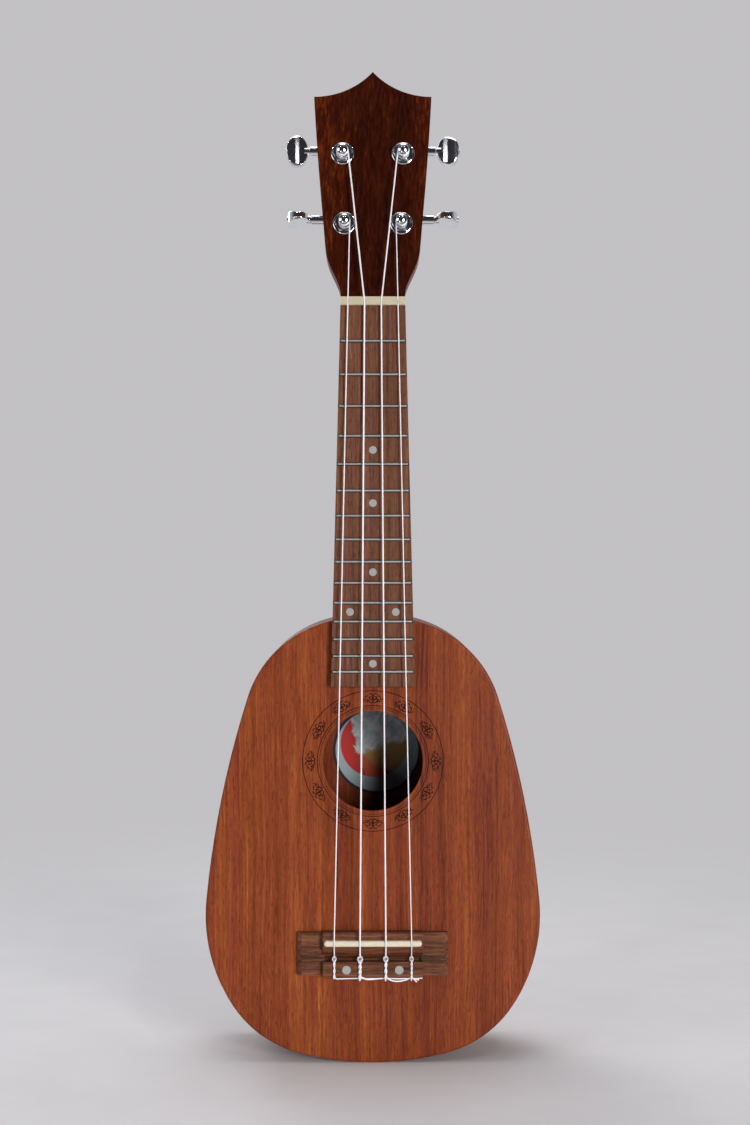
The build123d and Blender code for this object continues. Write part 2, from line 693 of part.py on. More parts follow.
def worm_shaft(side):
    shaft = across_bar(SHAFT_R, side, CASE_IN + CASE_WALL + 0.3, 28)
    shaft -= across_bar(0.9, side, 23, 29)
    return shaft + worm_thread()


def button(side):
    """Oval button with rounded faces, thin beside the shaft and flared to its outer end."""
    middle = (BUTTON_IN + BUTTON_OUT) / 2
    half = (BUTTON_OUT - BUTTON_IN) / 2
    oval = Pos(side * middle, WORM_GAP) * Ellipse(half, BUTTON_WIDE / 2)
    disc = extrude(Pos(0, 0, WORM_H - 5) * oval, amount=10)
    thin = 1.9
    thick = 3.7
    upper = ThreePointArc((side * BUTTON_IN, thin), (side * (middle + 1), 2.35), (side * BUTTON_OUT, thick))
    lower = mirror(upper, about=Plane.XZ)
    ends = Line(upper @ 0, lower @ 0) + Line(upper @ 1, lower @ 1)
    flare = make_face(Curve() + upper + lower + ends)
    plane = Plane(origin=(0, WORM_GAP - 15, WORM_H), x_dir=(1, 0, 0), z_dir=(0, -1, 0))
    dome = Pos(0, 0, BUTTON_DOME_RISE - BUTTON_DOME_R) * Rot(0, 90, 0) * Cylinder(BUTTON_DOME_R, 80)
    dome &= Pos(0, 0, BUTTON_DOME_R - BUTTON_DOME_RISE) * Rot(0, 90, 0) * Cylinder(BUTTON_DOME_R, 80)
    knob = disc & extrude(plane * flare, amount=-30) & Pos(0, WORM_GAP, WORM_H) * dome
    knob = fillet(knob.edges(), 0.6)
    knob += across_bar(2.4, side, BUTTON_IN - 0.7, BUTTON_IN + 2)
    knob -= across_bar(SHAFT_R, side, BUTTON_IN - 3, 28)
    knob -= across_bar(0.95, side, 27, BUTTON_OUT + 2)
    knob -= across_bar(2.2, side, BUTTON_OUT - 0.7, BUTTON_OUT + 2)
    return knob


def button_screw(side):
    shank = across_bar(0.9, side, 23.4, BUTTON_OUT - 0.6)
    head = across_bar(2.0, side, BUTTON_OUT - 0.7, BUTTON_OUT + 0.3)
    slot_at = Pos(side * (BUTTON_OUT + 0.2), WORM_GAP, WORM_H)
    return shank + head - slot_at * Box(1.0, 2.6, 0.6) - slot_at * Box(1.0, 0.6, 2.6)


def turned_about_shaft(shape, angle):
    """Turn a knob piece about the worm axis, in the tuner's own frame."""
    return shape.rotate(Axis((0, WORM_GAP, WORM_H), (1, 0, 0)), angle)


# ---- write every sub-part ----
side_left, side_right = sides()
save("soundboard", soundboard())
save("back_plate", back_plate())
save("side_left", side_left)
save("side_right", side_right)
save("neck_block", end_block(NECK_BLOCK))
save("tail_block", end_block(TAIL_BLOCK))
save("top_linings", [slab(lining_area(), PLATE_T, PLATE_T + LINING_H)])
save("back_linings", [behind_plate(lining_area(), LINING_H)])
save("transverse_braces", transverse_braces())
save("bridge_plate", bridge_plate())
save("fan_braces", fan_braces())
save("back_braces", back_braces())
save("label", label())
save("neck", neck())
save("head_plate", head_plate())
save("fingerboard", fingerboard())
save("frets", [fret(n) for n in range(1, FRETS + 1)])
save("position_dots", position_dots())
save("nut", nut())
save("bridge", bridge())
save("saddle", saddle())
save("bridge_dots", [bridge_dot(x) for x in (-BRIDGE_DOT_X, BRIDGE_DOT_X)])
save("bridge_bolts", [bridge_bolt(x) for x in (-BRIDGE_DOT_X, BRIDGE_DOT_X)])
save("bridge_nuts", [bridge_nut(x) for x in (-BRIDGE_DOT_X, BRIDGE_DOT_X)])

covers = []
bushings = []
washers = []
screws = []
shafts = {side: worm_shaft(side) for side in (-1, 1)}
knobs = {side: button(side) for side in (-1, 1)}
for k in range(4):
    side = POSTS[k][0]
    place = tuner_place(k)
    number = str(k + 1)
    save("string_" + STRING_NAMES[k], string(k))
    save("tuner_housing_" + number, place * tuner_housing(side))
    save("post_" + number, place * post())
    save("gear_" + number, place * gear())
    save("winding_" + number, winding(k))
    save("worm_shaft_" + number, place * shafts[side])
    save("button_" + number, place * turned_about_shaft(knobs[side], BUTTON_TURNS[k]))
    save("button_screw_" + number, place * turned_about_shaft(button_screw(side), BUTTON_TURNS[k]))
    covers.append(place * tuner_cover(side))
    bushings.append(place * tuner_bushing())
    washers.append(place * tuner_washer())
    screws.append(place * mounting_screw())
save("tuner_covers", covers)
save("tuner_bushings", bushings)
save("tuner_washers", washers)
save("tuner_mounting_screws", screws)
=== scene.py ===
import math
import random

import bmesh
import bpy
from mathutils import Matrix, Vector


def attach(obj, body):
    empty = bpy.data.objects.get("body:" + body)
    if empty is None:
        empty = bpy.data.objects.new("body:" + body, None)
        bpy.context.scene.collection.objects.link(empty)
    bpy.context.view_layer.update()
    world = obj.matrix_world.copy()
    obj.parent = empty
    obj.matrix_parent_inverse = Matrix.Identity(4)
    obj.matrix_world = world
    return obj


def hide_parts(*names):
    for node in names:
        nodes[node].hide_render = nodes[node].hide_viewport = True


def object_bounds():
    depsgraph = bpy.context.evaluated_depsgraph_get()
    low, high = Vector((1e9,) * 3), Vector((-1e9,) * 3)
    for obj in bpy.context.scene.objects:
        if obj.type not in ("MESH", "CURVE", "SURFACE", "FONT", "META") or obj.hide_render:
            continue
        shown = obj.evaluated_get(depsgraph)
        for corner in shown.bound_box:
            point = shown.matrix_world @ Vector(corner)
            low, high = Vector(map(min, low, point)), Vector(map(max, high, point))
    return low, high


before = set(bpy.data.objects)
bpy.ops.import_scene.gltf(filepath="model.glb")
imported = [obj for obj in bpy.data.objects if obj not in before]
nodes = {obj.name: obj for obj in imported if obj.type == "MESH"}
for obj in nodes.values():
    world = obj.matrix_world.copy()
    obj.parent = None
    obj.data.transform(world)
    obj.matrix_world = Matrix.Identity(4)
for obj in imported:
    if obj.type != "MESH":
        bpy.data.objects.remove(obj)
cad_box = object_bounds()
scene = bpy.context.scene
scene.view_settings.view_transform = "Standard"

# Lengths of the instrument are in millimetres and are scaled to metres where objects are made.
# The lights and the floor are placed in metres.
MM = 0.001
MM_PER_M = 1000.0

# ---- dimensions shared with the CAD model ----
HOLE_Z = -249.4
LABEL_X = 2.5
LABEL_Z = -249.9
LABEL_R = 25.5
BRIDGE_REAR = -367.0
TIE_FRONT = -358.4
TIE_TOP = -6.6
FRET_TOP = -5.5
TIE_HOLE_Y = -3.4
SADDLE_Z = -348.0
SADDLE_TOP = -9.4
# x at the bridge, diameter
STRINGS = {"g": (-21.1, 0.66), "c": (-7.0333, 0.92), "e": (7.0333, 0.81), "a": (21.1, 0.58)}


# ---- node graphs ----
def srgb(r, g, b):
    """Linear colour from display values of 0 to 255."""
    shares = [value / 255 for value in (r, g, b)]
    return (*(c / 12.92 if c <= 0.04045 else ((c + 0.055) / 1.055) ** 2.4 for c in shares), 1.0)


class Tree:
    """A node tree, with short names for the nodes used here."""

    def __init__(self, tree):
        self.tree = tree

    def add(self, kind, inputs=None, **settings):
        node = self.tree.nodes.new(kind)
        for key, value in settings.items():
            setattr(node, key, value)
        for key, value in (inputs or {}).items():
            self.feed(node.inputs[key], value)
        return node

    def feed(self, socket, value):
        """Link the value if it is another node's output, else set it."""
        if isinstance(value, bpy.types.NodeSocket):
            self.tree.links.new(value, socket)
        else:
            socket.default_value = value

    def math(self, operation, a, b=0.0, c=0.0):
        return self.add("ShaderNodeMath", {0: a, 1: b, 2: c}, operation=operation).outputs[0]

    def ramp(self, fac, stops):
        node = self.add("ShaderNodeValToRGB", {"Fac": fac})
        elements = node.color_ramp.elements
        while len(elements) > 1:
            elements.remove(elements[-1])
        elements[0].position, elements[0].color = stops[0]
        for position, colour in stops[1:]:
            elements.new(position).color = colour
        return node.outputs[0]

    def between(self, value, low, high, out_low=0.0, out_high=1.0, smooth=True):
        """out_low where the value is at low, out_high where it is at high, and held beyond both."""
        kind = "SMOOTHSTEP" if smooth else "LINEAR"
        inputs = {"Value": value, "From Min": low, "From Max": high, "To Min": out_low, "To Max": out_high}
        return self.add("ShaderNodeMapRange", inputs, interpolation_type=kind).outputs[0]


class Graph(Tree):
    """A new material, with its shader and its place on the object."""

    def __init__(self, name):
        self.material = bpy.data.materials.new(name)
        self.material.use_nodes = True
        super().__init__(self.material.node_tree)
        self.shader = next(n for n in self.tree.nodes if n.type == "BSDF_PRINCIPLED")
        self.place = self.add("ShaderNodeTexCoord").outputs["Object"]

    def set(self, **values):
        """Feed the shader's sockets; an underscore stands for a space in a socket's name."""
        for key, value in values.items():
            self.feed(self.shader.inputs[key.replace("_", " ")], value)

    def stretch(self, sx, sy, sz, offset=(0.0, 0.0, 0.0), source=None):
        """Object place with each axis multiplied; the factors are per millimetre."""
        factors = (sx * MM_PER_M, sy * MM_PER_M, sz * MM_PER_M)
        inputs = {"Vector": source or self.place, "Scale": factors, "Location": offset}
        return self.add("ShaderNodeMapping", inputs).outputs[0]

    def noise(self, vector, detail=2.0, rough=0.5, warp=0.0):
        inputs = {"Vector": vector, "Scale": 1.0, "Detail": detail, "Roughness": rough, "Distortion": warp}
        return self.add("ShaderNodeTexNoise", inputs).outputs[0]

    def even_noise(self, fineness, detail=4.0, rough=0.6):
        """Noise that is equally fine along all three axes; fineness is per millimetre."""
        return self.noise(self.stretch(fineness, fineness, fineness), detail, rough)

    def mix(self, fac, a, b, mode="MIX"):
        node = self.add("ShaderNodeMix", data_type="RGBA", blend_type=mode)
        for index, value in ((0, fac), (6, a), (7, b)):  # 6 and 7 are the node's colour sockets
            self.feed(node.inputs[index], value)
        return node.outputs[2]

    def axes(self):
        """X, Y and Z in millimetres."""
        node = self.add("ShaderNodeSeparateXYZ", {"Vector": self.place})
        return [self.math("MULTIPLY", s, MM_PER_M) for s in node.outputs]

    def distance(self, a, b):
        """Length of the vector (a, b)."""
        return self.math("SQRT", self.math("ADD", self.math("MULTIPLY", a, a), self.math("MULTIPLY", b, b)))

    def bump(self, height, strength, depth):
        inputs = {"Height": height, "Strength": strength, "Distance": depth * MM}
        return self.add("ShaderNodeBump", inputs).outputs[0]


# ---- finishes ----
GRAIN = {"x": (0, 1, 1), "z": (1, 1, 0), "rim": (0, 1, 0)}  # 1 for an axis across the fibres
SWAY = 6.0  # full swing of the fibres from side to side
PORE_TINT = (0.45, 0.36, 0.32, 1)
FLECK_TINT = (1.38, 1.42, 1.40, 1)


def wood(name, grain, tones, seed, width=8.0, ribbon=0.5, streak=0.55, fibre=0.5, mottle=0.2,
         hue=1.0, flecks=0.6, rough=0.4, gloss=0.2, relief=0.3, shade=None):
    """Open-pored hardwood. Tones run dark to light, grain is the fibres' axis, width is a ribbon's.

    Ribbon, streak, fibre and mottle say how much each pattern lightens and darkens the wood. Shade is a
    function that adds a broad light or dark part.
    """
    g = Graph(name)
    across = GRAIN[grain]
    sway_place = g.stretch(0.02, 0.02, 0.008, (seed, 0, 0))
    sway = g.add("ShaderNodeTexNoise", {"Vector": sway_place, "Scale": 1.0, "Detail": 1.0}).outputs[1]
    lean = g.add("ShaderNodeVectorMath", {0: sway, 1: (0.5, 0.5, 0.5)}, operation="SUBTRACT").outputs[0]
    push = g.add("ShaderNodeVectorMath", {0: lean, "Scale": SWAY * MM}, operation="SCALE").outputs[0]
    waved = g.add("ShaderNodeVectorMath", {0: g.place, 1: push}, operation="ADD").outputs[0]

    def layer(fine, long, offset, detail=2.0, roughness=0.5):
        """Noise that is fine across the grain and drawn out along it; both are per millimetre."""
        factors = [fine if axis else long for axis in across]
        place = (seed * 3.1 + offset, seed * 5.7 - offset, seed * 2.3 + 2 * offset)
        return g.noise(g.stretch(*factors, offset=place, source=waved), detail, roughness)

    ribbons = layer(0.9 / width, 0.0022, 1.0, 1.5)
    streaks = layer(0.75, 0.006, 7.0, 3.0, 0.6)
    fibres = layer(1.7, 0.05, 13.0, 3.0, 0.7)
    clouds = g.noise(g.stretch(0.12, 0.12, 0.035, (seed, 4.0, 9.0)), 3.0, 0.6)
    total = 0.5
    for weight, value in ((ribbon, ribbons), (streak, streaks), (fibre, fibres), (mottle, clouds)):
        total = g.math("MULTIPLY_ADD", g.math("SUBTRACT", value, 0.5), weight * 2.0, total)
    if shade is not None:
        total = g.math("ADD", total, shade(g))
    colour = g.ramp(total, [(i / (len(tones) - 1), t) for i, t in enumerate(tones)])

    # bands that are cooler or warmer
    warm = layer(1.4 / width, 0.003, 31.0, 2.0, 0.6)
    cool = (1 - 0.07 * hue, 1 - 0.16 * hue, 1 + 0.06 * hue, 1)
    glow = (1 + 0.08 * hue, 1 + 0.18 * hue, 1 - 0.10 * hue, 1)
    colour = g.mix(1.0, colour, g.ramp(warm, [(0.32, cool), (0.68, glow)]), "MULTIPLY")

    # short dark pores and short pale flecks
    pores = g.between(layer(1.5, 0.22, 23.0, 2.0, 0.6), 0.33, 0.47, 1.0, 0.0)
    pales = g.between(layer(1.3, 0.17, 41.0, 2.0, 0.6), 0.54, 0.68)
    colour = g.mix(g.math("MULTIPLY", pores, flecks), colour, PORE_TINT, "MULTIPLY")
    colour = g.mix(g.math("MULTIPLY", pales, flecks), colour, FLECK_TINT, "MULTIPLY")
    height = g.math("MULTIPLY_ADD", pores, -0.7, fibres)
    g.set(Base_Color=colour, Normal=g.bump(height, relief, 0.04),
          Roughness=g.between(streaks, 0.2, 0.8, rough - 0.05, rough + 0.08))
    g.shader.inputs["Specular IOR Level"].default_value = gloss
    return g


def plain(name, colour, rough, metallic=0.0, spots=0.0, fineness=0.4, relief=0.0, gloss=0.5):
    """Even surface with slight variation of colour, gloss and relief; fineness is per millimetre."""
    g = Graph(name)
    dust = g.even_noise(fineness)
    dark = tuple(c * (1 - spots) for c in colour[:3]) + (1,)
    light = tuple(min(1.0, c * (1 + spots)) for c in colour[:3]) + (1,)
    g.set(Base_Color=g.ramp(dust, [(0.3, dark), (0.7, light)]), Metallic=metallic,
          Roughness=g.between(dust, 0.25, 0.75, rough * 0.8, rough * 1.25))
    g.shader.inputs["Specular IOR Level"].default_value = gloss
    if relief:
        g.set(Normal=g.bump(g.even_noise(fineness * 6, 2.0, 0.5), relief, 0.02))
    return g


def head_shade(g):
    """The headstock's face is darkest just right of its middle and lighter towards both edges."""
    x = g.axes()[0]
    far = g.math("ABSOLUTE", g.math("ADD", x, -5.0))
    return g.between(far, 8.0, 36.0, -0.12, 0.18)


def face_shade(g):
    """Painted shade: the soundboard is a little lighter on its left half and darker towards its right, which
    the key lamp lights more.
    """
    x = g.axes()[0]
    return g.between(x, -95.0, 45.0, 0.06, -0.16)


face_tones = [srgb(92, 34, 15), srgb(119, 50, 22), srgb(132, 60, 27), srgb(150, 75, 34), srgb(172, 98, 50)]
body_tones = [srgb(92, 34, 16), srgb(114, 48, 24), srgb(128, 58, 28), srgb(146, 74, 36)]
neck_tones = [srgb(90, 36, 18), srgb(110, 46, 24), srgb(126, 58, 31), srgb(142, 74, 40)]
head_tones = [srgb(32, 7, 3), srgb(47, 13, 4), srgb(64, 21, 6), srgb(104, 42, 13)]
board_tones = [srgb(64, 38, 26), srgb(98, 60, 42), srgb(114, 72, 52), srgb(136, 92, 68)]
bridge_tones = [srgb(58, 32, 19), srgb(92, 53, 35), srgb(116, 70, 48), srgb(142, 92, 68)]
inner_tones = [srgb(104, 62, 38), srgb(128, 80, 52), srgb(146, 96, 64), srgb(164, 114, 78)]

face_wood = wood("face_wood", "z", face_tones, 1.0, shade=face_shade)
body_wood = wood("body_wood", "z", body_tones, 5.0)
rim_wood = wood("rim_wood", "rim", body_tones, 9.0, width=7.0)
neck_wood = wood("neck_wood", "z", neck_tones, 14.0, flecks=0.4)
head_wood = wood("head_wood", "z", head_tones, 17.0, width=5.0, ribbon=0.3, streak=0.8, fibre=0.22,
                 mottle=0.08, flecks=0.16, rough=0.34, gloss=0.06, shade=head_shade)
board_wood = wood("board_wood", "z", board_tones, 21.0, width=5.0, streak=0.75, hue=0.5, rough=0.48,
                  gloss=0.16)
bridge_wood = wood("bridge_wood", "x", bridge_tones, 26.0, width=4.0, ribbon=0.7, streak=0.8, hue=0.6,
                   rough=0.48, relief=0.12)
inner_wood = wood("inner_wood", "z", inner_tones, 31.0, ribbon=0.2, flecks=0.2, rough=0.7)
brace_wood = wood("brace_wood", "x", inner_tones, 37.0, ribbon=0.2, flecks=0.2, rough=0.7)

chrome = plain("chrome", (0.80, 0.81, 0.84, 1), 0.07, 1.0, spots=0.04, fineness=0.25)
steel = plain("steel", (0.56, 0.55, 0.53, 1), 0.3, 1.0, spots=0.1, fineness=0.8, relief=0.1)
brass = plain("brass", (0.72, 0.52, 0.22, 1), 0.3, 1.0, spots=0.1, fineness=0.8, relief=0.1)
cream = plain("cream", srgb(222, 212, 190), 0.38, spots=0.05, fineness=0.3, relief=0.05)
# painted shade: a darker copy of the cream for the nut, which stands in less light than the saddle
nut_shaded_cream = plain("nut_shaded_cream", srgb(197, 187, 160), 0.4, spots=0.06, fineness=0.3, relief=0.05)
nylon = plain("nylon", srgb(250, 247, 253), 0.3, spots=0.02, fineness=1.5)
burnt = plain("burnt_line", srgb(40, 14, 7), 0.7, spots=0.25, fineness=2.0, gloss=0.1)


def pearl_material():
    """Grey shell with soft swirls."""
    g = Graph("pearl")
    swirl = g.noise(g.stretch(0.5, 0.5, 0.9), 4.0, 0.6, warp=2.0)
    tones = [(0.2, srgb(136, 132, 132)), (0.45, srgb(166, 164, 160)),
             (0.6, srgb(154, 160, 164)), (0.85, srgb(190, 186, 184))]
    g.set(Base_Color=g.ramp(swirl, tones), Roughness=g.between(swirl, 0.2, 0.8, 0.22, 0.4))
    return g


POLISH_AND_GLINT_EDGE = 0.13  # depth under a fret's top where its polish and painted highlight begin
POLISH_AND_GLINT_FULL = 0.04  # depth where both are full


def fret_material():
    """Nickel-silver wire: polished along the played crest, with a painted highlight there, and dull down its
    flanks, with painted dark shade there.
    """
    g = Graph("fret_metal")
    y = g.axes()[1]
    dust = g.even_noise(0.9)
    crest = g.between(g.math("MULTIPLY_ADD", dust, 0.02, y), FRET_TOP + POLISH_AND_GLINT_EDGE, FRET_TOP + POLISH_AND_GLINT_FULL)
    # painted shade: the flanks' dark colour stands in for dark reflections beside the crest's highlight
    flank_painted_shade = g.ramp(dust, [(0.3, (0.10, 0.092, 0.085, 1)), (0.7, (0.15, 0.14, 0.13, 1))])
    # painted highlight: the crest's pale colour; its lower roughness is the real polish
    g.set(Base_Color=g.mix(crest, flank_painted_shade, (0.74, 0.73, 0.72, 1)), Metallic=1.0,
          Roughness=g.between(crest, 0.0, 1.0, 0.5, 0.36))
    return g


def label_material():
    """Round paper label: dark rim, pale crescent, abstract red, pale and gold print, no lettering."""
    g = Graph("label_paper")
    x, _, z = g.axes()
    x = g.math("SUBTRACT", x, LABEL_X)
    z = g.math("SUBTRACT", z, LABEL_Z)
    cloud = g.noise(g.stretch(0.13, 0.13, 0.13, (3.0, 0, 8.0)), 4.0, 0.65, warp=0.6)
    drift = g.math("MULTIPLY_ADD", cloud, 13.0, -6.5)

    def field(along, slope, across, low, high):
        """1 on one side of a sloping, drifting edge and 0 on the other; it fades from low to high."""
        line = g.math("MULTIPLY_ADD", along, slope, across)
        return g.between(g.math("ADD", line, drift), low, high, 1.0, 0.0)

    def outside(cx, cz, low, high):
        """0 inside the circle round (cx, cz), 1 outside it; it fades from radius low to high."""
        return g.between(g.distance(g.math("SUBTRACT", x, cx), g.math("SUBTRACT", z, cz)), low, high)

    art = g.mix(g.between(cloud, 0.35, 0.65), srgb(160, 176, 186), srgb(222, 226, 226))
    art = g.mix(field(x, -0.35, z, -1.0, 4.0), art, srgb(176, 134, 58))
    art = g.mix(field(x, 0.55, z, -10.0, -6.0), art, srgb(206, 84, 50))
    art = g.mix(field(z, 0.25, x, -12.5, -10.5), art, srgb(196, 34, 32))
    art = g.mix(outside(-1.6, 3.9, 19.3, 19.9), art, srgb(162, 178, 186))
    art = g.mix(outside(0.0, 0.0, LABEL_R - 1.8, LABEL_R - 1.1), art, srgb(22, 20, 24))
    g.set(Base_Color=art, Roughness=g.between(cloud, 0.3, 0.7, 0.4, 0.55))
    return g


pearl = pearl_material()
fret_metal = fret_material()
label_paper = label_material()

FINISH = {
    "soundboard": face_wood, "back_plate": body_wood, "side_left": rim_wood, "side_right": rim_wood,
    "neck_block": inner_wood, "tail_block": inner_wood, "top_linings": inner_wood, "back_linings": inner_wood,
    "transverse_braces": brace_wood, "bridge_plate": brace_wood, "fan_braces": inner_wood,
    "back_braces": brace_wood, "label": label_paper, "neck": neck_wood, "head_plate": head_wood,
    "fingerboard": board_wood, "bridge": bridge_wood, "frets": fret_metal, "position_dots": pearl,
    "bridge_dots": pearl, "nut": nut_shaded_cream, "saddle": cream, "bridge_bolts": steel, "bridge_nuts": steel,
    "string_g": nylon, "string_c": nylon, "string_e": nylon, "string_a": nylon, "tuner_covers": chrome,
    "tuner_bushings": chrome, "tuner_washers": chrome, "tuner_mounting_screws": chrome,
}
TUNER_FINISH = {
    "tuner_housing_": chrome, "post_": chrome, "gear_": brass, "winding_": nylon, "worm_shaft_": steel,
    "button_": chrome, "button_screw_": chrome,
}
for number in "1234":
    for part, finish in TUNER_FINISH.items():
        FINISH[part + number] = finish

for name, node in nodes.items():
    node.data.materials.clear()
    node.data.materials.append(FINISH[name].material)


# ---- mesh helpers ----
def grow(bm, verts, faces):
    """Add vertices, in metres, and their faces to a mesh that is being built."""
    made = [bm.verts.new(v) for v in verts]
    for face in faces:
        bm.faces.new([made[i] for i in face])


def add_object(name, bm, finish, smooth):
    """Turn the built mesh into an object of the scene."""
    mesh = bpy.data.meshes.new(name)
    bm.to_mesh(mesh)
    bm.free()
    mesh.polygons.foreach_set("use_smooth", [smooth] * len(mesh.polygons))
    mesh.materials.append(finish.material)
    obj = bpy.data.objects.new(name, mesh)
    scene.collection.objects.link(obj)
    return obj


def curve_points(points, per):
    """Centripetal Catmull-Rom line through the points, with so many steps from one to the next."""
    pts = [Vector(p) for p in points]
    pts = [2 * pts[0] - pts[1]] + pts + [2 * pts[-1] - pts[-2]]
    out = []
    for i in range(1, len(pts) - 2):
        p0, p1, p2, p3 = pts[i - 1:i + 3]
        t0 = 0.0
        t1 = t0 + max((p1 - p0).length, 1e-6) ** 0.5
        t2 = t1 + max((p2 - p1).length, 1e-6) ** 0.5
        t3 = t2 + max((p3 - p2).length, 1e-6) ** 0.5
        for j in range(per):
            t = t1 + (t2 - t1) * j / per
            a1 = (t1 - t) / (t1 - t0) * p0 + (t - t0) / (t1 - t0) * p1
            a2 = (t2 - t) / (t2 - t1) * p1 + (t - t1) / (t2 - t1) * p2
            a3 = (t3 - t) / (t3 - t2) * p2 + (t - t2) / (t3 - t2) * p3
            b1 = (t2 - t) / (t2 - t0) * a1 + (t - t0) / (t2 - t0) * a2
            b2 = (t3 - t) / (t3 - t1) * a2 + (t - t1) / (t3 - t1) * a3
            out.append((t2 - t) / (t2 - t1) * b1 + (t - t1) / (t2 - t1) * b2)
    out.append(pts[-2])
    return out


TUBE_SIDES = 12
END_RINGS = ((0.22, 0.85), (0.38, 0.55))  # rounded end: how far out each ring is, and its radius, in radii


def tube_parts(line, radius):
    """Closed round tube along a line; its frame is carried along without twist."""
    rings = []
    normal = None
    for i, p in enumerate(line):
        run = (line[min(i + 1, len(line) - 1)] - line[max(i - 1, 0)]).normalized()
        if normal is None:
            normal = run.orthogonal().normalized()
        normal = (normal - run * normal.dot(run)).normalized()
        rings.append((p, run, normal, run.cross(normal), radius))

    def rounded(ring, way):
        p, run, across, side, _ = ring
        return [(p + run * way * radius * out, run, across, side, radius * share)
                for out, share in END_RINGS]

    verts = []
    for p, _, across, side, r in rounded(rings[0], -1)[::-1] + rings + rounded(rings[-1], 1):
        for j in range(TUBE_SIDES):
            a = 2 * math.pi * j / TUBE_SIDES
            verts.append(p + across * (r * math.cos(a)) + side * (r * math.sin(a)))
    faces = []
    last = len(verts) - TUBE_SIDES
    for low in range(0, last, TUBE_SIDES):
        for j in range(TUBE_SIDES):
            k = (j + 1) % TUBE_SIDES
            faces.append((low + j, low + k, low + TUBE_SIDES + k, low + TUBE_SIDES + j))
    faces.append(tuple(reversed(range(TUBE_SIDES))))
    faces.append(tuple(range(last, last + TUBE_SIDES)))
    return verts, faces


# ---- string ties at the bridge ----
STRING_CUT = -356.5  # the CAD string is kept above this height
CLEAR = 0.1  # gap between a string and what it lies on
TWIST_STEPS = 14
STRAND_STEPS = 5
SLIM = 0.985  # the tied strand's share of the string's width, so that it starts inside the CAD string


def tie_points(x, d, gap, turns):
    """One strand: through the tie block, back over it, round the string and back in a two-ply twist."""
    r = d / 2
    saddle_y = SADDLE_TOP - r - CLEAR
    hole_z = TIE_FRONT - 0.2

    def on_string(z):
        """Point of the taut string between saddle and hole."""
        share = (SADDLE_Z - z) / (SADDLE_Z - hole_z)
        return Vector((x, saddle_y + share * (TIE_HOLE_Y - saddle_y), z))

    axis_y = TIE_TOP - d - CLEAR
    rear = BRIDGE_REAR - r - gap
    start_z = BRIDGE_REAR + 0.5
    end_z = TIE_FRONT + 0.3
    lay = r + 0.02

    def twist(first, shares):
        """One ply of the twist: first is its angle at the block's rear, and shares run along the block."""
        ply = []
        for t in shares:
            a = first + 2 * math.pi * turns * t
            z = start_z + (end_z - start_z) * t
            ply.append(Vector((x + lay * math.cos(a), axis_y + lay * math.sin(a), z)))
        return ply

    points = [on_string(STRING_CUT + 0.1), on_string(STRING_CUT - 0.9),
              on_string(STRING_CUT - 1.8) + Vector((0, 0.1, 0)),
              Vector((x, TIE_HOLE_Y, TIE_FRONT - 1.0)), Vector((x, TIE_HOLE_Y, BRIDGE_REAR + 4.0)),
              Vector((x, TIE_HOLE_Y, BRIDGE_REAR + 0.6)),
              Vector((x, TIE_HOLE_Y - 0.5, rear + 0.1)), Vector((x, TIE_HOLE_Y - 1.6, rear)),
              Vector((x - 0.1, TIE_TOP, rear)), Vector((x - 0.2, axis_y + r * 0.6, rear + 0.5 + gap * 0.4))]
    points += twist(math.pi, [i / TWIST_STEPS for i in range(TWIST_STEPS + 1)])

    # the loop round the taut string, in front of the tie block
    way = 1 if math.cos(math.pi + 2 * math.pi * turns) >= 0 else -1
    wide = way * (d + 0.25)
    front_y = on_string(STRING_CUT + 0.8).y
    beside_y = (axis_y + on_string(STRING_CUT - 0.1).y) / 2
    climb = ((0.75, axis_y + 0.5, 0.55), (1.0, beside_y, 1.15), (0.8, front_y + 0.45 * d, 1.9))
    points += [Vector((x + wide * out, y, end_z + up)) for out, y, up in climb]
    points.append(Vector((x, front_y + d + 0.08, end_z + 2.3)))
    points += [Vector((x - wide * out, y, end_z + up)) for out, y, up in reversed(climb)]
    return points + twist(2 * math.pi, [1 - i / TWIST_STEPS for i in range(TWIST_STEPS + 1)])


# each trimmed tail: how far right of its string, then its Y and Z
TAILS = {
    "g": [(1.2, -7.2, -367.35), (3.0, -6.5, -367.5), (8.0, -6.25, -367.45), (14.07, -6.1, -367.45),
          (21.0, -6.05, -367.5), (28.1, -6.0, -367.5), (35.0, -6.3, -367.5), (42.2, -6.3, -367.45),
          (45.0, -6.6, -367.3), (48.0, -7.3, -367.0)],
    "c": [(1.4, -7.6, -366.7), (3.4, -7.0, -367.6), (6.6, -5.6, -368.0), (10.0, -5.1, -367.8),
          (14.07, -5.1, -367.62), (21.0, -5.3, -367.8), (28.14, -5.4, -367.6), (30.4, -6.1, -367.9),
          (32.0, -6.9, -368.0)],
    "e": [(1.2, -7.4, -367.3), (2.8, -6.6, -368.3), (5.0, -5.6, -369.1), (8.0, -4.9, -369.2),
          (11.4, -4.5, -368.5), (14.07, -4.45, -367.6), (15.4, -5.2, -368.2), (16.8, -6.2, -369.3)],
    "a": [(1.0, -7.3, -367.2), (1.9, -6.9, -367.9)],
}
# gap behind the bridge, turns of the twist
TIES = {"g": (0.25, 1.25), "c": (0.95, 1.5), "e": (1.2, 1.25), "a": (1.15, 1.75)}


